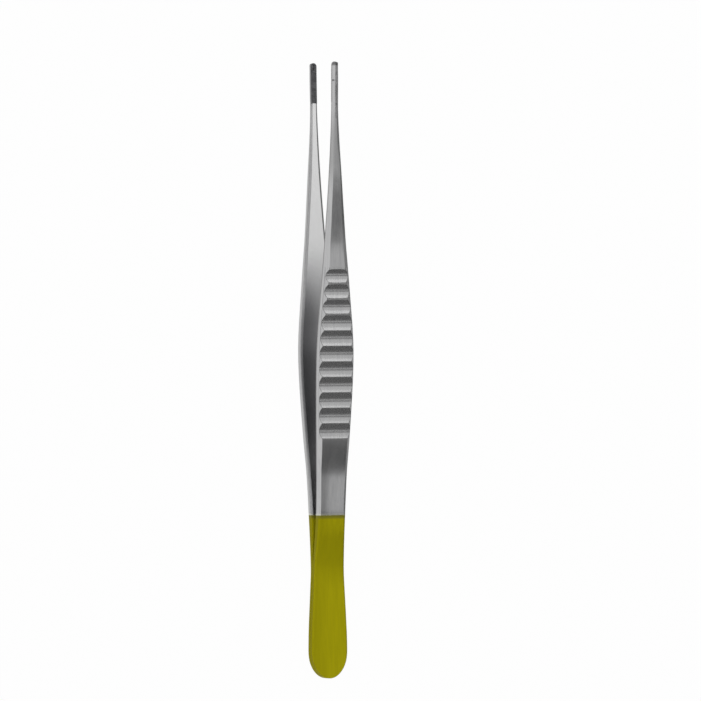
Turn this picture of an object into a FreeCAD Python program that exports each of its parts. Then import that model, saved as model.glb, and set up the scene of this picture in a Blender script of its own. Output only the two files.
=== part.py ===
import FreeCAD, Part
import math
import os

from FreeCAD import Placement, Rotation, Vector

# Thumb forceps with fine toothed jaws, for holding vessels and tissue. Millimetres.
#
# Two leaf spring arms lie flat together at the butt, where a weld bead runs round
# their seam. Past the seam they part, bow out under the fluted grips and run on to
# narrow jaws. A hard metal pad is brazed into a step on the inside of each jaw.
#
# The forceps is laid out about its middle plane: Y is the station, from 0 at the butt
# to the tips, X runs across the arms, and Z is the way the upper arm opens. At the end
# it is tilted and set down on the lower arm, as it lies on a table.

# Overall
TOTAL_LENGTH = 200.0

# Plan outline: full widths and the stations where they are measured
BUTT_WIDTH = 13.2
BUTT_ROUND = 9.0
WAIST_WIDTH = 10.9
WAIST_STATION = 36.0
NECK_WIDTH = 9.95
NECK_STATION = 51.0
GRIP_WIDTH = 12.9
GRIP_STATION = 103.0
SHANK_WIDTH = 9.1
SHANK_STATION = 130.0
JAW_WIDTH = 2.2
JAW_LENGTH = 15.0
WAIST_SLOPE = -0.03
SHANK_SLOPE = -0.082
JAW_ROOT_SLOPE = -0.018

# Side view: the inner face of each arm is three straight runs joined by two bends
SEAM_LENGTH = 35.0
BOW_STATION = 104.0
BOW_OPENING = 9.9
TIP_OPENING = 13.4
SPRING_BEND_RADIUS = 60.0
BOW_BEND_RADIUS = 400.0

# Arm section: edge height, bevel height, bevel width, crown rise, inner bevel height.
# The grip has no crown, so that the forceps lies steady. The arm is thickest there, and
# thinner at the throat behind it and at the hollow in front of it. The arms have no
# inner bevel where they meet, and there its height is below zero. The throat lies at a
# share of the way from neck to grip, and the hollow and the taper from shank to jaw.
BUTT_SECTION = (1.15, 0.15, 0.50, 0.05, -0.05)
NECK_SECTION = (1.92, 0.25, 0.75, 0.06, 0.18)
THROAT_SECTION = (1.70, 0.35, 0.85, 0.03, 0.18)
GRIP_SECTION = (2.05, 0.55, 1.00, 0.00, 0.18)
SHANK_SECTION = (1.96, 0.55, 1.45, 0.06, 0.18)
HOLLOW_SECTION = (1.62, 0.45, 1.20, 0.07, 0.18)
TAPER_SECTION = (1.66, 0.35, 0.80, 0.08, 0.18)
JAW_SECTION = (0.85, 0.28, 0.30, 0.24, 0.13)
INNER_BEVEL_SLOPE = 0.26
GRIP_SECTION_START = 78.0
NECK_SECTION_STATION = 53.0
THROAT_SHARE = 14 / 25
HOLLOW_SHARE = 13 / 55
TAPER_SHARE = 29 / 55
SECTION_STEP = 5.0
SECTION_MARGIN = 0.3
SECTION_ROOM = 1.0

# Flutes across the grip, with a wider land left behind the ones nearest the jaws
FLUTE_COUNT = 11
FLUTE_PITCH = 5.0
FLUTE_START = 77.8
FLUTE_DEPTH = 0.47
FLUTE_LAND = 0.16
WIDE_LAND = 0.55
WIDE_LAND_COUNT = 3
FLUTE_OVERCUT = 0.04

# Jaw ends and their pads
NOSE_LENGTH = 1.0
PAD_LENGTH = 13.1
PAD_THICKNESS = 0.5
HATCH_PITCH_ACROSS = 0.49
HATCH_PITCH_ALONG = 1.23
HATCH_DEPTH = 0.09
HATCH_HALF_WIDTH = 0.08
HATCH_OVERCUT = 0.5
TOOTH_ZONE_LENGTH = 2.45
TOOTH_PITCH = 0.49
TOOTH_COUNT = 4
TOOTH_DEPTH = 0.16
TOOTH_ROW_WIDTH = 0.62
ROW_CLEARANCE = 0.04
PAD_BORDER = 0.12

# Weld bead round the butt seam
BEAD_HEIGHT = 0.5
BEAD_DEPTH = 0.4
BEAD_INSET = 0.06

# How far cutting solids reach past what they cut
REACH = 20.0


def half_width_rows():
    """Stations of the plan outline: (station, half width, slope)."""
    return [
        (BUTT_ROUND, BUTT_WIDTH / 2, 0.0),
        (WAIST_STATION, WAIST_WIDTH / 2, WAIST_SLOPE),
        (NECK_STATION, NECK_WIDTH / 2, 0.0),
        (GRIP_STATION, GRIP_WIDTH / 2, 0.0),
        (SHANK_STATION, SHANK_WIDTH / 2, SHANK_SLOPE),
        (TOTAL_LENGTH - JAW_LENGTH, JAW_WIDTH / 2, JAW_ROOT_SLOPE),
    ]


def half_width(station):
    """Half width of the outline between the butt's round end and the tip."""
    rows = half_width_rows()
    if station <= rows[0][0]:
        return rows[0][1]
    if station >= rows[-1][0]:
        return rows[-1][1]
    for (y0, x0, s0), (y1, x1, s1) in zip(rows, rows[1:]):
        if station <= y1:
            span = y1 - y0
            t = (station - y0) / span
            ends = x0 + (x1 - x0) * t * t * (3 - 2 * t)
            slopes = s0 * span * t * (1 - t) ** 2 - s1 * span * t * t * (1 - t)
            return ends + slopes


def side_curve(row0, row1, side):
    """One piece of the outline, which half_width follows exactly."""
    (y0, x0, s0), (y1, x1, s1) = row0, row1
    third = (y1 - y0) / 3
    curve = Part.BezierCurve()
    curve.setPoles([
        Vector(side * x0, y0, 0),
        Vector(side * (x0 + s0 * third), y0 + third, 0),
        Vector(side * (x1 - s1 * third), y1 - third, 0),
        Vector(side * x1, y1, 0),
    ])
    return curve.toShape()


def quarter(start, corner, end):
    """Quarter of an ellipse, from start to end, inside their corner."""
    curve = Part.BezierCurve()
    curve.setPoles([start, corner, end])
    curve.setWeight(2, math.sqrt(0.5))
    return curve.toShape()


def plan_prism(inset, bottom, top):
    """The arm's outline seen from above, drawn in by an inset, as a prism."""
    rows = [(y, x - inset, slope) for y, x, slope in half_width_rows()]
    pairs = list(zip(rows, rows[1:]))
    y, x, _ = rows[0]
    butt = Vector(0, inset, 0)
    edges = [
        quarter(Vector(x, y, 0), Vector(x, inset, 0), butt),
        quarter(butt, Vector(-x, inset, 0), Vector(-x, y, 0)),
    ]
    edges += [side_curve(a, b, -1) for a, b in pairs]
    root, x, _ = rows[-1]
    end = TOTAL_LENGTH - inset
    shoulder = end - x
    tip = Vector(0, end, 0)
    edges += [
        Part.makeLine(Vector(-x, root, 0), Vector(-x, shoulder, 0)),
        quarter(Vector(-x, shoulder, 0), Vector(-x, end, 0), tip),
        quarter(tip, Vector(x, end, 0), Vector(x, shoulder, 0)),
        Part.makeLine(Vector(x, shoulder, 0), Vector(x, root, 0)),
    ]
    edges += [side_curve(a, b, 1) for a, b in reversed(pairs)]
    outline = Part.Wire(Part.__sortEdges__(edges))
    outline.translate(Vector(0, 0, bottom))
    return Part.Face(outline).extrude(Vector(0, 0, top - bottom))


def bend(corner, before, after, radius):
    """Tangent arc at a corner of the side view: start, middle and end points."""
    into = (corner - before).normalize()
    out = (after - corner).normalize()
    turn = into.getAngle(out)
    tangent = radius * math.tan(turn / 2)
    start = corner - into * tangent
    end = corner + out * tangent
    inward = (out - into).normalize()
    middle = corner + inward * (radius / math.cos(turn / 2) - radius)
    return start, middle, end


def inner_points():
    """Corners of the inner face in the side view, before its bends are rounded."""
    return [
        Vector(0, 0, 0),
        Vector(0, SEAM_LENGTH, 0),
        Vector(0, BOW_STATION, BOW_OPENING / 2),
        Vector(0, TOTAL_LENGTH, TIP_OPENING / 2),
    ]


def inner_height(station):
    """Height of the inner face above the middle plane, without the bends."""
    points = inner_points()
    for a, b in zip(points, points[1:]):
        if station <= b.y:
            break
    return a.z + (b.z - a.z) * (station - a.y) / (b.y - a.y)


def bent_height(station):
    """Height of the inner face above the middle plane, with the bends rounded."""
    butt, seam, bow, tip = inner_points()
    height = inner_height(station)
    for corner, before, after, radius in (
        (seam, butt, bow, SPRING_BEND_RADIUS),
        (bow, seam, tip, BOW_BEND_RADIUS),
    ):
        start, middle, end = bend(corner, before, after, radius)
        if start.y < station < end.y:
            centre = Part.Arc(start, middle, end).toShape().Curve.Center
            offset = math.sqrt(radius ** 2 - (station - centre.y) ** 2)
            height = centre.z + (offset if middle.z > centre.z else -offset)
    return height


def side_prism():
    """The space above the inner face, with the rounded nose at the tip."""
    butt, seam, bow, tip = inner_points()
    seam_start, seam_middle, seam_end = bend(seam, butt, bow, SPRING_BEND_RADIUS)
    bow_start, bow_middle, bow_end = bend(bow, seam, tip, BOW_BEND_RADIUS)
    nose_height = back_height(TOTAL_LENGTH)
    nose_top = Vector(0, TOTAL_LENGTH - NOSE_LENGTH, nose_height)
    nose_corner = Vector(0, TOTAL_LENGTH, nose_height)
    above_nose = Vector(0, nose_top.y, REACH)
    above_butt = Vector(0, butt.y - SECTION_ROOM, REACH)
    behind_butt = Vector(0, butt.y - SECTION_ROOM, 0)
    edges = [
        Part.makeLine(behind_butt, seam_start),
        Part.Arc(seam_start, seam_middle, seam_end).toShape(),
        Part.makeLine(seam_end, bow_start),
        Part.Arc(bow_start, bow_middle, bow_end).toShape(),
        Part.makeLine(bow_end, tip),
        quarter(tip, nose_corner, nose_top),
        Part.makeLine(nose_top, above_nose),
        Part.makeLine(above_nose, above_butt),
        Part.makeLine(above_butt, behind_butt),
    ]
    profile = Part.Face(Part.Wire(edges))
    profile.translate(Vector(-REACH, 0, 0))
    return profile.extrude(Vector(2 * REACH, 0, 0))


def section_rows():
    """Stations of the arm section and its sizes there."""
    jaw_root = TOTAL_LENGTH - JAW_LENGTH
    neck_run = GRIP_SECTION_START - NECK_SECTION_STATION
    shank_run = jaw_root - SHANK_STATION
    return [
        (0.0, BUTT_SECTION),
        (SEAM_LENGTH, BUTT_SECTION),
        (NECK_SECTION_STATION, NECK_SECTION),
        (NECK_SECTION_STATION + THROAT_SHARE * neck_run, THROAT_SECTION),
        (GRIP_SECTION_START, GRIP_SECTION),
        (BOW_STATION, GRIP_SECTION),
        (SHANK_STATION, SHANK_SECTION),
        (SHANK_STATION + HOLLOW_SHARE * shank_run, HOLLOW_SECTION),
        (SHANK_STATION + TAPER_SHARE * shank_run, TAPER_SECTION),
        (jaw_root, JAW_SECTION),
        (TOTAL_LENGTH, JAW_SECTION),
    ]


def steepness(rows, index, item):
    """Slope of one section size at a row: level where it stops growing or shrinking."""
    if index in (0, len(rows) - 1):
        return 0.0
    slopes = []
    for a, b in ((rows[index - 1], rows[index]), (rows[index], rows[index + 1])):
        slopes.append((b[1][item] - a[1][item]) / (b[0] - a[0]))
    if slopes[0] * slopes[1] <= 0:
        return 0.0
    return 2 * slopes[0] * slopes[1] / (slopes[0] + slopes[1])


def arm_section(station):
    """The sizes of the arm section at a station, blended between the rows."""
    rows = section_rows()
    station = min(max(station, rows[0][0]), rows[-1][0])
    for index, (row0, row1) in enumerate(zip(rows, rows[1:])):
        if station <= row1[0]:
            break
    span = row1[0] - row0[0]
    t = (station - row0[0]) / span
    sizes = []
    for item in range(len(row0[1])):
        v0, v1 = row0[1][item], row1[1][item]
        s0 = steepness(rows, index, item) * span
        s1 = steepness(rows, index + 1, item) * span
        ends = v0 + (v1 - v0) * t * t * (3 - 2 * t)
        sizes.append(ends + s0 * t * (1 - t) ** 2 - s1 * t * t * (1 - t))
    return sizes


def back_height(station):
    """Height of the crown line above the middle plane."""
    edge, bevel_height, _, crown, _ = arm_section(station)
    return bent_height(station) + edge + bevel_height + crown


def back_wire(station):
    """Section of the bevelled and crowned back, wider than the arm by a margin."""
    edge, bevel_height, bevel_width, crown, _ = arm_section(station)
    floor = bent_height(station) - SECTION_ROOM
    shoulder = bent_height(station) + edge + bevel_height
    side = half_width(station)
    inner = side - bevel_width
    outer = side + SECTION_MARGIN
    low = shoulder - bevel_height * (outer - inner) / bevel_width
    right = [
        Vector(outer, station, floor),
        Vector(outer, station, low),
        Vector(inner, station, shoulder),
    ]
    left = [Vector(-p.x, p.y, p.z) for p in right]
    top = Part.BezierCurve()
    top.setPoles([right[2], Vector(0, station, shoulder + 2 * crown), left[2]])
    return Part.Wire([
        Part.makeLine(left[0], right[0]),
        Part.makeLine(right[0], right[1]),
        Part.makeLine(right[1], right[2]),
        top.toShape(),
        Part.makeLine(left[2], left[1]),
        Part.makeLine(left[1], left[0]),
    ])


def section_loft(wire_at):
    """Solid through the sections that a function draws, from butt to tip."""
    count = round(TOTAL_LENGTH / SECTION_STEP)
    stations = [TOTAL_LENGTH * i / count for i in range(count + 1)]
    stations[0] -= SECTION_ROOM
    stations[-1] += SECTION_ROOM
    return Part.makeLoft([wire_at(y) for y in stations], True)


def inner_bevel_wire(station):
    """Section of what is cut from the right inner edge of the arm."""
    lift = arm_section(station)[-1]
    side = half_width(station)
    height = bent_height(station)
    inner = side - SECTION_ROOM
    outer = side + SECTION_MARGIN
    corners = [
        Vector(inner, station, height - SECTION_ROOM),
        Vector(outer, station, height - SECTION_ROOM),
        Vector(outer, station, height + lift + INNER_BEVEL_SLOPE * SECTION_MARGIN),
        Vector(inner, station, height + lift - INNER_BEVEL_SLOPE * SECTION_ROOM),
    ]
    return Part.makePolygon(corners + corners[:1])


def inner_bevels():
    """What is cut from both inner edges, where the arms have parted."""
    right = section_loft(inner_bevel_wire)
    return [right, right.mirror(Vector(0, 0, 0), Vector(1, 0, 0))]


def flute_cutter(index):
    """One flute: a shallow round-bottomed trough across the back of the grip."""
    land = WIDE_LAND if index >= FLUTE_COUNT - WIDE_LAND_COUNT else FLUTE_LAND
    end = FLUTE_START + FLUTE_PITCH * (index + 1)
    half_chord = (FLUTE_PITCH - land) / 2
    station = end - half_chord
    slope = (back_height(end) - back_height(station - half_chord)) / (2 * half_chord)
    rise = (half_chord ** 2 + FLUTE_DEPTH ** 2) / (2 * FLUTE_DEPTH) - FLUTE_DEPTH
    radius = rise + FLUTE_DEPTH
    top_half = math.sqrt(radius ** 2 - (rise - FLUTE_OVERCUT) ** 2)
    butt_lip = Vector(-REACH, -top_half, FLUTE_OVERCUT)
    bottom = Vector(-REACH, 0, -FLUTE_DEPTH)
    jaw_lip = Vector(-REACH, top_half, FLUTE_OVERCUT)
    edges = [Part.Arc(butt_lip, bottom, jaw_lip).toShape(), Part.makeLine(jaw_lip, butt_lip)]
    cutter = Part.Face(Part.Wire(edges)).extrude(Vector(2 * REACH, 0, 0))
    turn = Rotation(Vector(1, 0, 0), math.degrees(math.atan(slope)))
    cutter.Placement = Placement(Vector(0, station, back_height(station)), turn)
    return cutter


def bead_end():
    """Station where the bead stops: where the arms start to part."""
    butt, seam, bow, _ = inner_points()
    return bend(seam, butt, bow, SPRING_BEND_RADIUS)[0].y


def bead_seat():
    """The step that the rims of both arms leave for the bead."""
    half = BEAD_HEIGHT / 2
    room = box(-REACH, REACH, -REACH, bead_end(), -half, half)
    return room.cut(plan_prism(BEAD_DEPTH, -REACH, REACH))


def weld_bead():
    """The bead in its seat, ground a little below the rim of the arms."""
    return plan_prism(BEAD_INSET, -REACH, REACH).common(bead_seat())


def jaw_placement():
    """Places things drawn at a flat jaw face: tip at the origin, butt towards -Y."""
    _, _, bow, tip = inner_points()
    slope = math.degrees(math.atan2(tip.z - bow.z, tip.y - bow.y))
    return Placement(tip, Rotation(Vector(1, 0, 0), slope))


def box(x0, x1, y0, y1, z0, z1):
    """Box between two corners."""
    return Part.makeBox(x1 - x0, y1 - y0, z1 - z0, Vector(x0, y0, z0))


def pad_seat():
    """The step in the jaw that the pad fills."""
    seat = box(-JAW_WIDTH, JAW_WIDTH, -PAD_LENGTH, JAW_WIDTH, -REACH, PAD_THICKNESS)
    seat.Placement = jaw_placement()
    return seat


def hatch_cutters(side):
    """V grooves that slant one way across the pad, clear of its ends."""
    length = (JAW_WIDTH + HATCH_PITCH_ACROSS) * HATCH_PITCH_ALONG / HATCH_PITCH_ACROSS
    angle = side * math.degrees(math.atan2(HATCH_PITCH_ACROSS, HATCH_PITCH_ALONG))
    spread = HATCH_HALF_WIDTH * (1 + HATCH_OVERCUT)
    low = -HATCH_DEPTH * HATCH_OVERCUT
    corners = [
        Vector(-spread, -length, low),
        Vector(spread, -length, low),
        Vector(0, -length, HATCH_DEPTH),
    ]
    groove = Part.Face(Part.makePolygon(corners + corners[:1])).extrude(Vector(0, 2 * length, 0))
    reach = JAW_WIDTH / 2 * HATCH_PITCH_ALONG / HATCH_PITCH_ACROSS
    first = -TOOTH_ZONE_LENGTH + reach
    count = math.ceil((PAD_LENGTH - TOOTH_ZONE_LENGTH + 2 * reach) / HATCH_PITCH_ALONG)
    grooves = []
    for index in range(count):
        copy = groove.copy()
        copy.Placement = Placement(
            Vector(0, first - index * HATCH_PITCH_ALONG, 0),
            Rotation(Vector(0, 0, 1), angle),
        )
        grooves.append(copy)
    window = box(
        -JAW_WIDTH, JAW_WIDTH,
        -PAD_LENGTH + PAD_BORDER, -TOOTH_ZONE_LENGTH - PAD_BORDER,
        -REACH, REACH,
    )
    return [groove.common(window) for groove in grooves]


def tooth_cutters(width):
    """V notches across the tooth row at the end of the pad."""
    half_pitch = TOOTH_PITCH / 2
    notches = []
    for index in range(TOOTH_COUNT):
        y = -JAW_WIDTH / 4 - (index + 0.5) * TOOTH_PITCH
        corners = [
            Vector(-width / 2, y - half_pitch, 0),
            Vector(-width / 2, y, TOOTH_DEPTH),
            Vector(-width / 2, y + half_pitch, 0),
            Vector(-width / 2, y, -TOOTH_DEPTH),
        ]
        face = Part.Face(Part.makePolygon(corners + corners[:1]))
        notches.append(face.extrude(Vector(width, 0, 0)))
    return notches


def zone_line():
    """Groove across the pad between its tooth row and its diamonds."""
    half = PAD_BORDER / 2
    butt_side = -TOOTH_ZONE_LENGTH - half
    jaw_side = -TOOTH_ZONE_LENGTH + half
    return [box(-JAW_WIDTH, JAW_WIDTH, butt_side, jaw_side, -REACH, HATCH_DEPTH)]


def shoulder_cutters():
    """Steps beside the raised tooth row, which the rails of the other jaw fill."""
    row = TOOTH_ROW_WIDTH / 2 - ROW_CLEARANCE
    depth = TOOTH_DEPTH / 2
    return [
        box(row, JAW_WIDTH, -TOOTH_ZONE_LENGTH, JAW_WIDTH, -REACH, depth),
        box(-JAW_WIDTH, -row, -TOOTH_ZONE_LENGTH, JAW_WIDTH, -REACH, depth),
    ]


def pad_pattern():
    """Groups of cutters that both pads share: teeth, line and both hatchings."""
    return [tooth_cutters(TOOTH_ROW_WIDTH), zone_line(), hatch_cutters(1), hatch_cutters(-1)]


def cut_pad(blank, groups):
    """The pad with its face pattern cut in, one group of cutters at a time."""
    place = jaw_placement()
    for group in groups:
        for cutter in group:
            cutter.Placement = place.multiply(cutter.Placement)
        blank = blank.cut(group)
    return blank


def mirrored(shape):
    """The same piece for the lower arm."""
    return shape.mirror(Vector(0, 0, 0), Vector(0, 0, 1))


def rest_angle():
    """Tilt, in degrees, at which the lower arm lies on its butt and its grip."""
    butt_back = back_height(0)
    slopes = []
    for index in range(FLUTE_COUNT + 1):
        station = FLUTE_START + index * FLUTE_PITCH
        slopes.append((back_height(station) - butt_back) / station)
    return math.degrees(math.atan(max(slopes)))


def main():
    body = plan_prism(0, 0, REACH).common(side_prism()).common(section_loft(back_wire))
    flutes = [flute_cutter(index) for index in range(FLUTE_COUNT)]
    arm = body.cut(inner_bevels()).cut(flutes).cut(pad_seat()).cut(bead_seat())
    pad = body.common(pad_seat())
    lower_pad = cut_pad(pad, pad_pattern())

    pieces = {
        "upper_arm": arm,
        "lower_arm": mirrored(arm),
        "upper_jaw_pad": cut_pad(pad, [shoulder_cutters()] + pad_pattern()),
        "lower_jaw_pad": mirrored(lower_pad),
        "butt_weld": weld_bead(),
    }

    tilt = Placement(Vector(0, 0, 0), Rotation(Vector(1, 0, 0), rest_angle()))
    for shape in pieces.values():
        shape.Placement = tilt.multiply(shape.Placement)
    whole = Part.makeCompound(list(pieces.values())).optimalBoundingBox(False)
    middle = Vector(-whole.Center.x, -whole.Center.y, -whole.ZMin)

    os.makedirs("parts", exist_ok=True)
    for name, shape in pieces.items():
        shape.translate(middle)
        shape.exportStep("parts/" + name + ".step")


main()
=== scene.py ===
# Thumb forceps with fluted grips and a gold plated butt, lying on a white table
import math
from types import SimpleNamespace

import bpy
from mathutils import Matrix, Vector

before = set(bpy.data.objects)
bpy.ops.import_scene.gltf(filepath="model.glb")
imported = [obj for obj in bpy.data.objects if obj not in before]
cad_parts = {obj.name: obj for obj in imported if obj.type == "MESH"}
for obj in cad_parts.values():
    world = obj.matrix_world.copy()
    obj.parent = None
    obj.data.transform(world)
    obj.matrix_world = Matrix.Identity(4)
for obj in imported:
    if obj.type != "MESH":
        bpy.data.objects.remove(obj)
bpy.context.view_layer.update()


def colour(red, green, blue):
    return (red, green, blue, 1.0)


def grey(level):
    return colour(level, level, level)


# The forceps' own directions. Its long axis is tipped up a little as it lies.
REST_TILT = math.radians(3.353)
BUTT_POINT = Vector((0.0, -0.099987, 0.001349))
AXIS = Vector((0.0, math.cos(REST_TILT), math.sin(REST_TILT)))
ACROSS = Vector((1.0, 0.0, 0.0))
OPENING = ACROSS.cross(AXIS)

# Camera: a long lens, seen from the left of the upper arm, with the tips upward
VIEW_TURN = math.radians(30.0)
VIEW_LEAN = math.radians(0.4)
CAMERA_DISTANCE = 2.1
PICTURE_PIXELS = 701
PIXELS_PER_METRE = 3080.0
TARGET_ALONG = 0.10643
TARGET_ASIDE = 0.00803
SENSOR_MM = 36.0
CLIP_NEAR = 0.1
CLIP_FAR = 20.0

# A fade is 0 at its first value and 1 at its second. A band rises over two values and falls over two.

# Fades and bands along the forceps, in metres from its butt. The rim's fade is from its own centre.
PLATED_LENGTH = 0.0530
PLATED_FADE = (PLATED_LENGTH + 0.00012, PLATED_LENGTH - 0.00012)
EDGE_BAND_FADE = (PLATED_LENGTH - 0.0016, PLATED_LENGTH - 0.0004)
RIM_CENTRE = PLATED_LENGTH + 0.0003
RIM_FADE = (0.0004, 0.0001)
WAIST_BAND = (0.026, 0.038, 0.045, 0.050)
NECK_FADE = (0.0720, 0.0640)
GRIP_BAND = (0.0774, 0.0780, 0.1330, 0.1336)
FAR_BEVEL_BAND = (0.140, 0.150, 0.178, 0.186)
TAPER_BAND = (0.158, 0.168, 0.175, 0.186)
NOSE_FADE = (0.1984, 0.1991)
INNER_BEVEL_FADE = (0.126, 0.112)
INSIDE_NECK_FADE = (0.088, 0.058)
INSIDE_SHANK_FADE = (0.102, 0.111)
INSIDE_JAW_FADE = (0.116, 0.145)

# Fades across the forceps and up from its seam, in metres
NECK_LEFT_FADE = (-0.0004, -0.0034)
UPPER_ARM_FADE = (0.0, 0.001)
UPPER_JAW_FADE = (0.006, 0.007)

# Fades and a band by the way a face looks, as its cosine with outward or sideways
BACK_FADE = (0.80, 0.90)
INNER_FACE_FADE = (-0.970, -0.985)
INNER_BEVEL_LOOK_FADE = (-0.940, -0.960)
CREASE_FADE = (0.02, 0.12)
WALL_FADE = (0.80, 0.95)
WALL_LEAN_FADE = (0.05, -0.40)
FAR_BEVEL_SLOPE_BAND = (0.15, 0.30, 0.75, 0.90)
NECK_SLOPE_FADE = (0.22, 0.12)
GOLD_WALL_FADE = (0.15, 0.60)

# Small dark mark on the outside of the upper jaw. The fade is by its half sizes, squared.
MARK_STATION = 0.1939
MARK_ASIDE = -0.0009
MARK_HALF_LENGTH = 0.00028
MARK_HALF_WIDTH = 0.00042
MARK_FADE = (1.3, 0.5)

# Edges whose shading is rounded: the radius in metres, and the samples taken
GROUND_EDGE = (0.00012, 4)
CREASE_EDGE = (0.0003, 6)
WALL_EDGE = (0.0012, 6)

# Noises: waves a metre, detail and roughness. Grain and streaks run lengthwise. The fade gives contrast.
GRAIN_NOISE = ((9000.0, 90.0, 9000.0), 4.0, 0.6)
STREAK_NOISE = ((1500.0, 25.0, 1500.0), 3.0, 0.55)
CLOUD_NOISE = ((90.0, 90.0, 90.0), 3.0, 0.5)
FLECK_NOISE = ((2600.0, 2600.0, 2600.0), 2.0, 0.5)
PATCH_NOISE = ((900.0, 900.0, 900.0), 3.0, 0.6)
GRIT_NOISE = ((14000.0, 14000.0, 14000.0), 2.0, 0.5)
NOISE_FADE = (0.3, 0.7)

# Steel: its colours, and the shades over it, each with a strength and the colour that it turns to. The
# taper, far bevel, crease, wall edge and neck shades are painted shade, and so is the nose shade over
# the ends of the tips, which the small dark mark shares.
STEEL = colour(0.44, 0.44, 0.445)
STEEL_STREAK = grey(0.49)
STEEL_CLOUD = colour(0.41, 0.41, 0.415)
# Inner faces: painted shade along the grip and shank, and painted reflection, lighter towards the butt
# and the jaws
INSIDE_GRIP = colour(0.27, 0.27, 0.275)
INSIDE_SHANK = colour(0.34, 0.34, 0.345)
INSIDE_NECK = colour(0.52, 0.52, 0.525)
INSIDE_JAW = grey(0.88)
TAPER_SHADE = (0.45, grey(0.20))
FAR_BEVEL_SHADE = (0.55, grey(0.10))
CREASE_SHADE = (0.90, grey(0.13))
WALL_EDGE_SHADE = (0.75, grey(0.08))
NOSE_SHADE = (0.80, grey(0.08))
NECK_SHADE = (0.50, grey(0.10))
RIM_SHADE = (0.45, colour(0.66, 0.67, 0.52))

# Plating: its colours with its painted shade, how strong that shade is at the waist, and the shades over
# it: painted shade on its walls, and a darker band along its edge
GOLD = colour(0.50, 0.455, 0.007)
GOLD_STREAK = colour(0.55, 0.50, 0.008)
GOLD_SHADED = colour(0.37, 0.335, 0.005)
WAIST_SHADE_STRENGTH = 0.42
GOLD_WALL_SHADE = (0.72, colour(0.20, 0.18, 0.003))
EDGE_BAND_SHADE = (0.75, colour(0.21, 0.20, 0.04))

# Hard metal of the pads: its colours
PAD_DARK = colour(0.09, 0.09, 0.095)
PAD_PATCH = colour(0.17, 0.17, 0.175)
PAD_WALL = grey(0.40)

# Ramps of the metals: two values of a noise, a place or a slope, and the result at each
CLOUD_RAMP = (0.35, 0.75, 0.0, 0.25)
GOLD_LEFT_RAMP = (0.001, -0.006, 0.0, 0.45)
PAD_WALL_RAMP = (0.60, 0.90, 0.0, 0.7)
GRAIN_ROUGHNESS = (0.25, 0.75, 0.16, 0.22)
FLECK_ROUGHNESS = (0.55, 0.8, 0.0, 0.04)
GRIT_ROUGHNESS = (0.3, 0.7, 0.36, 0.5)

# Other looks of the metals. A bump is a strength and a height in metres.
PLATED_ROUGHNESS = 0.30
GRIP_ROUGHNESS = 0.065
ANISOTROPY = 0.9
GRAIN_SHARE = 0.6
GROUND_BUMP = (0.10, 0.00002)
GRIT_BUMP = (0.25, 0.00001)

# Ramps of the studio's brightness: two values of a direction, and the brightness or share at each
MAIN_RISE = (-0.055, 0.015, 0.0, 0.78)
MAIN_FALL = (0.50, 0.62, 1.0, 0.10)
STRIP_PLACE = -0.180
STRIP_RAMP = (0.050, 0.020, 0.0, 0.82)
BUTT_DIM = (-0.40, -0.24, 0.09, 0.18)
MIDDLE_DIM = (-0.18, -0.12, 0.0, 0.10)
RIGHT_FALL = (0.60, 0.96, 1.0, 0.30)
LEFT_RISE = (0.25, 0.00, 0.0, 1.28)
LEFT_FALL = (0.52, 0.80, 1.0, 0.12)
BEYOND_BUTT = (-0.82, -0.70, 0.55, 0.0)
BEYOND_TIPS = (0.72, 0.85, 0.0, 0.55)
LOW_RAMP = (0.22, 0.42, 0.50, 0.0)

# Table and lamp
TABLE_HALF = 6.0
TABLE_WHITE = grey(1.0)
TABLE_UNLIT = grey(0.8)
TABLE_GLOW_SHARE = 0.97
LAMP_PLACE = Vector((0.2, 1.1, 1.3))
LAMP_SIDE = 1.2
LAMP_WATTS = 5.0


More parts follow.
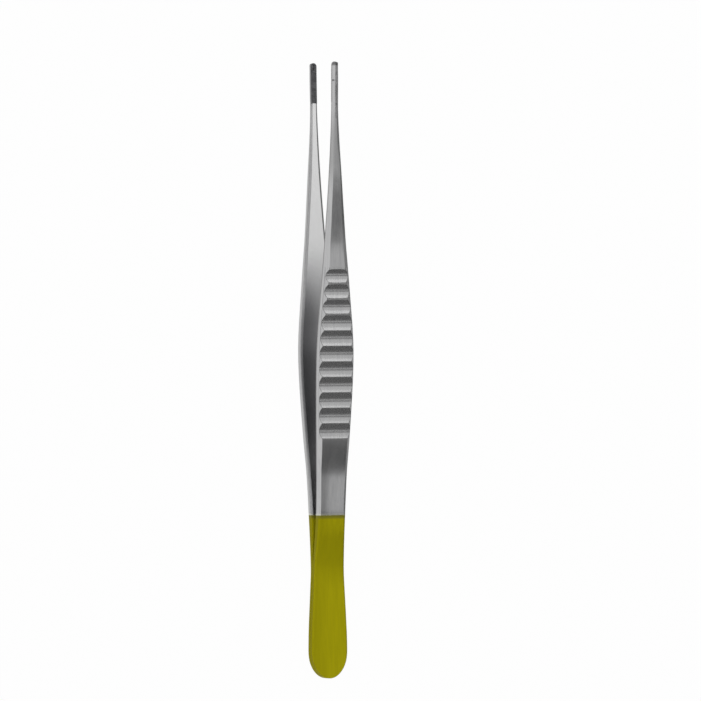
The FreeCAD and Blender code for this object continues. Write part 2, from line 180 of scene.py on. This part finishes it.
class Nodes:
    """Short names for building the node tree of one material or world."""

    def __init__(self, owner):
        owner.use_nodes = True
        self.tree = owner.node_tree
        self.tree.nodes.clear()

    def add(self, kind, **values):
        node = self.tree.nodes.new(kind)
        for name, value in values.items():
            if name in node.bl_rna.properties:
                setattr(node, name, value)
            else:
                node.inputs[name].default_value = value
        return node

    def link(self, source, target):
        self.tree.links.new(source, target)

    def put(self, socket, value):
        if isinstance(value, bpy.types.NodeSocket):
            self.link(value, socket)
        else:
            socket.default_value = value

    def math(self, operation, *values):
        node = self.add("ShaderNodeMath", operation=operation)
        for socket, value in zip(node.inputs, values):
            self.put(socket, value)
        return node.outputs[0]

    def chain(self, operation, first, *others):
        result = first
        for value in others:
            result = self.math(operation, result, value)
        return result

    def times(self, *values):
        return self.chain("MULTIPLY", *values)

    def plus(self, *values):
        return self.chain("ADD", *values)

    def largest(self, *values):
        return self.chain("MAXIMUM", *values)

    def minus(self, a, b):
        return self.math("SUBTRACT", a, b)

    def size(self, value):
        return self.math("ABSOLUTE", value)

    def square(self, value):
        return self.math("POWER", value, 2.0)

    def ramp(self, value, low, high, to_low=0.0, to_high=1.0):
        """A soft change from to_low at low to to_high at high, which may run either way."""
        node = self.add("ShaderNodeMapRange", interpolation_type="SMOOTHSTEP")
        for socket, number in zip(node.inputs, (value, low, high, to_low, to_high)):
            self.put(socket, number)
        return node.outputs[0]

    def band(self, value, start, full, last, end):
        return self.times(self.ramp(value, start, full), self.ramp(value, end, last))

    def mix(self, factor, a, b):
        node = self.add("ShaderNodeMix", data_type="RGBA")
        self.put(node.inputs[0], factor)
        self.put(node.inputs[6], a)
        self.put(node.inputs[7], b)
        return node.outputs[2]

    def shade(self, base, mask, strength, target):
        """The base colour, turned to the target by the strength where the mask is full."""
        return self.mix(self.times(mask, strength), base, target)

    def vector(self, operation, source, constant):
        node = self.add("ShaderNodeVectorMath", operation=operation)
        self.link(source, node.inputs[0])
        node.inputs[1].default_value = constant
        return node

    def dot(self, source, direction):
        return self.vector("DOT_PRODUCT", source, direction).outputs["Value"]

    def noise(self, place, waves, detail, roughness):
        node = self.add("ShaderNodeTexNoise", Scale=1.0, Detail=detail, Roughness=roughness)
        self.link(self.vector("MULTIPLY", place, waves).outputs[0], node.inputs["Vector"])
        return node.outputs["Fac"]

    def place(self):
        return self.add("ShaderNodeTexCoord").outputs["Object"]

    def facing(self):
        return self.add("ShaderNodeNewGeometry").outputs["True Normal"]

    def rounded(self, radius, samples):
        """The way that the surface faces, rounded over its edges."""
        return self.add("ShaderNodeBevel", samples=samples, Radius=radius).outputs[0]

    def bump(self, height, strength, distance):
        node = self.add("ShaderNodeBump", Strength=strength, Distance=distance)
        self.link(height, node.inputs["Height"])
        return node

    def output(self, kind, shader):
        self.link(shader.outputs[0], self.add(kind).inputs[0])


def add_camera():
    toward = -math.sin(VIEW_TURN) * ACROSS + math.cos(VIEW_TURN) * OPENING
    level = math.cos(VIEW_TURN) * ACROSS + math.sin(VIEW_TURN) * OPENING
    right = math.cos(VIEW_LEAN) * level - math.sin(VIEW_LEAN) * AXIS
    up = math.cos(VIEW_LEAN) * AXIS + math.sin(VIEW_LEAN) * level
    target = BUTT_POINT + TARGET_ALONG * AXIS + TARGET_ASIDE * right
    place = target + CAMERA_DISTANCE * toward
    metres_across = PICTURE_PIXELS / PIXELS_PER_METRE
    data = bpy.data.cameras.new("camera")
    data.sensor_width = SENSOR_MM
    data.lens = SENSOR_MM * CAMERA_DISTANCE / metres_across
    data.clip_start = CLIP_NEAR
    data.clip_end = CLIP_FAR
    camera = bpy.data.objects.new("camera", data)
    camera.matrix_world = Matrix((
        (right.x, up.x, toward.x, place.x),
        (right.y, up.y, toward.y, place.y),
        (right.z, up.z, toward.z, place.z),
        (0.0, 0.0, 0.0, 1.0),
    ))
    bpy.context.scene.collection.objects.link(camera)
    bpy.context.scene.camera = camera


def read_surface(n):
    """Where a point lies on the forceps, and which way its face looks.

    station is the length from the butt, aside the place to the right of the middle and
    rise the height over the seam. outward is 1 on the flat of an arm's back and -1 on its
    inner face. slope is 1 on a right side wall and -1 on a left one, and steepness its size.
    """
    place = n.place()
    facing = n.facing()
    rise = n.minus(n.dot(place, OPENING), BUTT_POINT.dot(OPENING))
    arm = n.math("SIGN", rise)
    slope = n.dot(facing, ACROSS)
    return SimpleNamespace(
        place=place,
        facing=facing,
        rise=rise,
        arm=arm,
        slope=slope,
        steepness=n.size(slope),
        station=n.minus(n.dot(place, AXIS), BUTT_POINT.dot(AXIS)),
        aside=n.dot(place, ACROSS),
        outward=n.times(n.dot(facing, OPENING), arm),
    )


def grip_mask(n, spot):
    return n.times(n.band(spot.station, *GRIP_BAND), n.ramp(spot.outward, *BACK_FADE))


def inner_mask(n, spot):
    """The inner faces, and from the butt to past the middle of the grip their bevels too, which take
    painted shade and painted reflection.
    """
    face = n.ramp(spot.outward, *INNER_FACE_FADE)
    bevel = n.ramp(spot.outward, *INNER_BEVEL_LOOK_FADE)
    return n.largest(face, n.times(bevel, n.ramp(spot.station, *INNER_BEVEL_FADE)))


def crease_shade_mask(n, spot, grip):
    """Painted shade in the creases where the flutes meet the side bevels."""
    turn = n.minus(n.dot(n.rounded(*CREASE_EDGE), ACROSS), spot.slope)
    return n.times(n.ramp(n.size(turn), *CREASE_FADE), grip)


def wall_edge_shade_mask(n, spot):
    """Painted shade on the side walls near their inner edges, where they turn towards the other arm."""
    lean = n.times(n.dot(n.rounded(*WALL_EDGE), OPENING), spot.arm)
    return n.times(n.ramp(lean, *WALL_LEAN_FADE), n.ramp(spot.steepness, *WALL_FADE))


def taper_shade_mask(n, spot):
    """Painted shade on the upper arm where it narrows towards the jaw."""
    return n.times(n.band(spot.station, *TAPER_BAND), n.ramp(spot.rise, *UPPER_ARM_FADE))


def far_bevel_shade_mask(n, spot):
    """Painted shade on the bevels on the right, in front of the grip."""
    bevel = n.band(spot.slope, *FAR_BEVEL_SLOPE_BAND)
    return n.times(bevel, n.band(spot.station, *FAR_BEVEL_BAND))


def neck_shade_mask(n, spot):
    """Painted shade on the left side of the flat faces between the grip and the plating."""
    left = n.ramp(spot.aside, *NECK_LEFT_FADE)
    return n.times(n.ramp(spot.station, *NECK_FADE), left, n.ramp(spot.steepness, *NECK_SLOPE_FADE))


def mark_mask(n, spot):
    along = n.math("DIVIDE", n.minus(spot.station, MARK_STATION), MARK_HALF_LENGTH)
    aside = n.math("DIVIDE", n.minus(spot.aside, MARK_ASIDE), MARK_HALF_WIDTH)
    reach = n.plus(n.square(along), n.square(aside))
    return n.times(n.ramp(reach, *MARK_FADE), n.ramp(spot.rise, *UPPER_JAW_FADE))


def rim_mask(n, spot):
    """The thin pale line where the plating begins."""
    return n.ramp(n.size(n.minus(spot.station, RIM_CENTRE)), *RIM_FADE)


def painted_inside_shading(n, spot):
    """Painted shade on the inner faces, dark along the grip, and painted reflection, lighter towards the
    butt and the jaws.
    """
    inside = n.mix(n.ramp(spot.station, *INSIDE_SHANK_FADE), INSIDE_GRIP, INSIDE_SHANK)
    inside = n.mix(n.ramp(spot.station, *INSIDE_NECK_FADE), inside, INSIDE_NECK)
    return n.mix(n.ramp(spot.station, *INSIDE_JAW_FADE), inside, INSIDE_JAW)


def steel_colour(n, spot, streak, grip):
    steel = n.mix(n.ramp(streak, *NOISE_FADE), STEEL, STEEL_STREAK)
    cloud = n.noise(spot.place, *CLOUD_NOISE)
    steel = n.mix(n.ramp(cloud, *CLOUD_RAMP), steel, STEEL_CLOUD)
    # Painted shade on the upper arm's taper
    steel = n.shade(steel, taper_shade_mask(n, spot), *TAPER_SHADE)
    # Painted shade on the bevels on the right
    steel = n.shade(steel, far_bevel_shade_mask(n, spot), *FAR_BEVEL_SHADE)
    # Painted shade and painted reflection on the inner faces
    steel = n.mix(inner_mask(n, spot), steel, painted_inside_shading(n, spot))
    # Painted shade in the creases of the grip
    steel = n.shade(steel, crease_shade_mask(n, spot, grip), *CREASE_SHADE)
    # Painted shade on the side walls along their inner edges
    steel = n.shade(steel, wall_edge_shade_mask(n, spot), *WALL_EDGE_SHADE)
    # Painted shade over the rounded ends of the tips. The small dark mark takes the same colour.
    nose = n.ramp(spot.station, *NOSE_FADE)
    steel = n.shade(steel, n.largest(nose, mark_mask(n, spot)), *NOSE_SHADE)
    # Painted shade on the left of the neck
    steel = n.shade(steel, neck_shade_mask(n, spot), *NECK_SHADE)
    return n.shade(steel, rim_mask(n, spot), *RIM_SHADE)


def gold_colour(n, spot, streak, plated):
    """Plating, with painted shade on its left, at the waist and on its walls, and a darker band along
    its edge by the steel.
    """
    gold = n.mix(n.ramp(streak, *NOISE_FADE), GOLD, GOLD_STREAK)
    # Painted shade on the left of the plating and at its waist
    waist = n.times(n.band(spot.station, *WAIST_BAND), WAIST_SHADE_STRENGTH)
    gold = n.mix(n.largest(n.ramp(spot.aside, *GOLD_LEFT_RAMP), waist), gold, GOLD_SHADED)
    # Painted shade on the plating's side walls
    gold = n.shade(gold, n.ramp(spot.steepness, *GOLD_WALL_FADE), *GOLD_WALL_SHADE)
    # A darker band on the plating along its edge by the steel
    edge_band = n.times(n.ramp(spot.station, *EDGE_BAND_FADE), plated)
    return n.shade(gold, edge_band, *EDGE_BAND_SHADE)


def metal_roughness(n, spot, grain, plated, grip):
    return n.plus(
        n.ramp(grain, *GRAIN_ROUGHNESS),
        n.ramp(n.noise(spot.place, *FLECK_NOISE), *FLECK_ROUGHNESS),
        n.times(plated, PLATED_ROUGHNESS),
        n.times(grip, GRIP_ROUGHNESS),
    )


def ground_bump(n, grain, streak):
    """Fine grinding marks on a surface whose edges catch the light a little."""
    height = n.plus(n.times(grain, GRAIN_SHARE), n.times(streak, 1.0 - GRAIN_SHARE))
    bump = n.bump(height, *GROUND_BUMP)
    n.link(n.rounded(*GROUND_EDGE), bump.inputs["Normal"])
    return bump


def steel_and_gold(name):
    """Satin steel, ground lengthwise, with the gold plating over the butt end, and painted shade and
    painted reflection laid over both.
    """
    material = bpy.data.materials.new(name)
    n = Nodes(material)
    spot = read_surface(n)
    grain = n.noise(spot.place, *GRAIN_NOISE)
    streak = n.noise(spot.place, *STREAK_NOISE)
    plated = n.ramp(spot.station, *PLATED_FADE)
    grip = grip_mask(n, spot)
    steel = steel_colour(n, spot, streak, grip)
    gold = gold_colour(n, spot, streak, plated)
    shader = n.add("ShaderNodeBsdfPrincipled", Metallic=1.0, Anisotropic=ANISOTROPY)
    n.link(n.mix(plated, steel, gold), shader.inputs["Base Color"])
    n.link(metal_roughness(n, spot, grain, plated, grip), shader.inputs["Roughness"])
    n.link(n.vector("CROSS_PRODUCT", spot.facing, AXIS).outputs[0], shader.inputs["Tangent"])
    n.link(ground_bump(n, grain, streak).outputs[0], shader.inputs["Normal"])
    n.output("ShaderNodeOutputMaterial", shader)
    return material


def carbide(name):
    """Dark sintered hard metal of the jaw pads, brighter on its side walls."""
    material = bpy.data.materials.new(name)
    n = Nodes(material)
    place = n.place()
    patches = n.ramp(n.noise(place, *PATCH_NOISE), *NOISE_FADE)
    walls = n.ramp(n.size(n.dot(n.facing(), ACROSS)), *PAD_WALL_RAMP)
    grit = n.noise(place, *GRIT_NOISE)
    shader = n.add("ShaderNodeBsdfPrincipled", Metallic=1.0)
    n.link(n.mix(walls, n.mix(patches, PAD_DARK, PAD_PATCH), PAD_WALL), shader.inputs["Base Color"])
    n.link(n.ramp(grit, *GRIT_ROUGHNESS), shader.inputs["Roughness"])
    n.link(n.bump(grit, *GRIT_BUMP).outputs[0], shader.inputs["Normal"])
    n.output("ShaderNodeOutputMaterial", shader)
    return material


def paint_nodes():
    metal = steel_and_gold("satin_steel_gold_plated")
    pad = carbide("hard_metal")
    for name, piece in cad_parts.items():
        material = pad if name.endswith("jaw_pad") else metal
        for slot in piece.material_slots:
            slot.material = material


def table_white(name):
    """White to the camera and in reflections, so that only a faint shadow shows."""
    material = bpy.data.materials.new(name)
    n = Nodes(material)
    ray = n.add("ShaderNodeLightPath").outputs
    seen = n.largest(ray["Is Camera Ray"], ray["Is Glossy Ray"], ray["Is Transmission Ray"])
    diffuse = n.add("ShaderNodeBsdfDiffuse", Color=TABLE_UNLIT)
    glow = n.add("ShaderNodeEmission", Color=TABLE_WHITE, Strength=1.0)
    blend = n.add("ShaderNodeMixShader")
    n.link(n.times(seen, TABLE_GLOW_SHARE), blend.inputs[0])
    n.link(diffuse.outputs[0], blend.inputs[1])
    n.link(glow.outputs[0], blend.inputs[2])
    n.output("ShaderNodeOutputMaterial", blend)
    return material


def add_table():
    corners = [(x * TABLE_HALF, y * TABLE_HALF, 0.0) for x, y in ((-1, -1), (1, -1), (1, 1), (-1, 1))]
    mesh = bpy.data.meshes.new("table")
    mesh.from_pydata(corners, [], [(0, 1, 2, 3)])
    mesh.materials.append(table_white("table_white"))
    table = bpy.data.objects.new("table", mesh)
    bpy.context.scene.collection.objects.link(table)


def studio_level(n, x, y, z):
    """Brightness by direction: x is to the forceps' right, y towards its tips and z up."""
    main_light = n.times(n.ramp(y, *MAIN_RISE), n.ramp(y, *MAIN_FALL))
    strip = n.ramp(n.size(n.minus(y, STRIP_PLACE)), *STRIP_RAMP)
    dim = n.plus(n.ramp(y, *BUTT_DIM), n.ramp(y, *MIDDLE_DIM))
    above = n.times(n.plus(n.largest(main_light, strip), dim), n.ramp(x, *RIGHT_FALL))
    left = n.times(n.ramp(x, *LEFT_RISE), n.ramp(y, *LEFT_FALL))
    ends = n.largest(n.ramp(y, *BEYOND_BUTT), n.ramp(y, *BEYOND_TIPS))
    return n.largest(above, left, ends, n.ramp(z, *LOW_RAMP))


def add_world():
    """Studio surroundings: a wide soft light from overhead towards the tips, dim towards the butt."""
    world = bpy.data.worlds.new("studio")
    bpy.context.scene.world = world
    n = Nodes(world)
    direction = n.add("ShaderNodeSeparateXYZ")
    n.link(n.add("ShaderNodeTexCoord").outputs["Generated"], direction.inputs[0])
    level = studio_level(n, *direction.outputs)
    seen = n.add("ShaderNodeLightPath").outputs["Is Camera Ray"]
    background = n.add("ShaderNodeBackground")
    n.link(n.plus(n.times(level, n.minus(1.0, seen)), seen), background.inputs["Strength"])
    n.output("ShaderNodeOutputWorld", background)


def add_lamp():
    """A soft square lamp over the tips, aimed at the middle of the table."""
    data = bpy.data.lights.new("lamp_tips", "AREA")
    data.shape = "RECTANGLE"
    data.size = LAMP_SIDE
    data.size_y = LAMP_SIDE
    data.energy = LAMP_WATTS
    lamp = bpy.data.objects.new("lamp_tips", data)
    lamp.location = LAMP_PLACE
    lamp.rotation_euler = (-LAMP_PLACE).to_track_quat("-Z", "Y").to_euler()
    bpy.context.scene.collection.objects.link(lamp)


def main():
    bpy.context.scene.view_settings.view_transform = "Standard"
    add_camera()
    paint_nodes()
    add_table()
    add_world()
    add_lamp()


main()
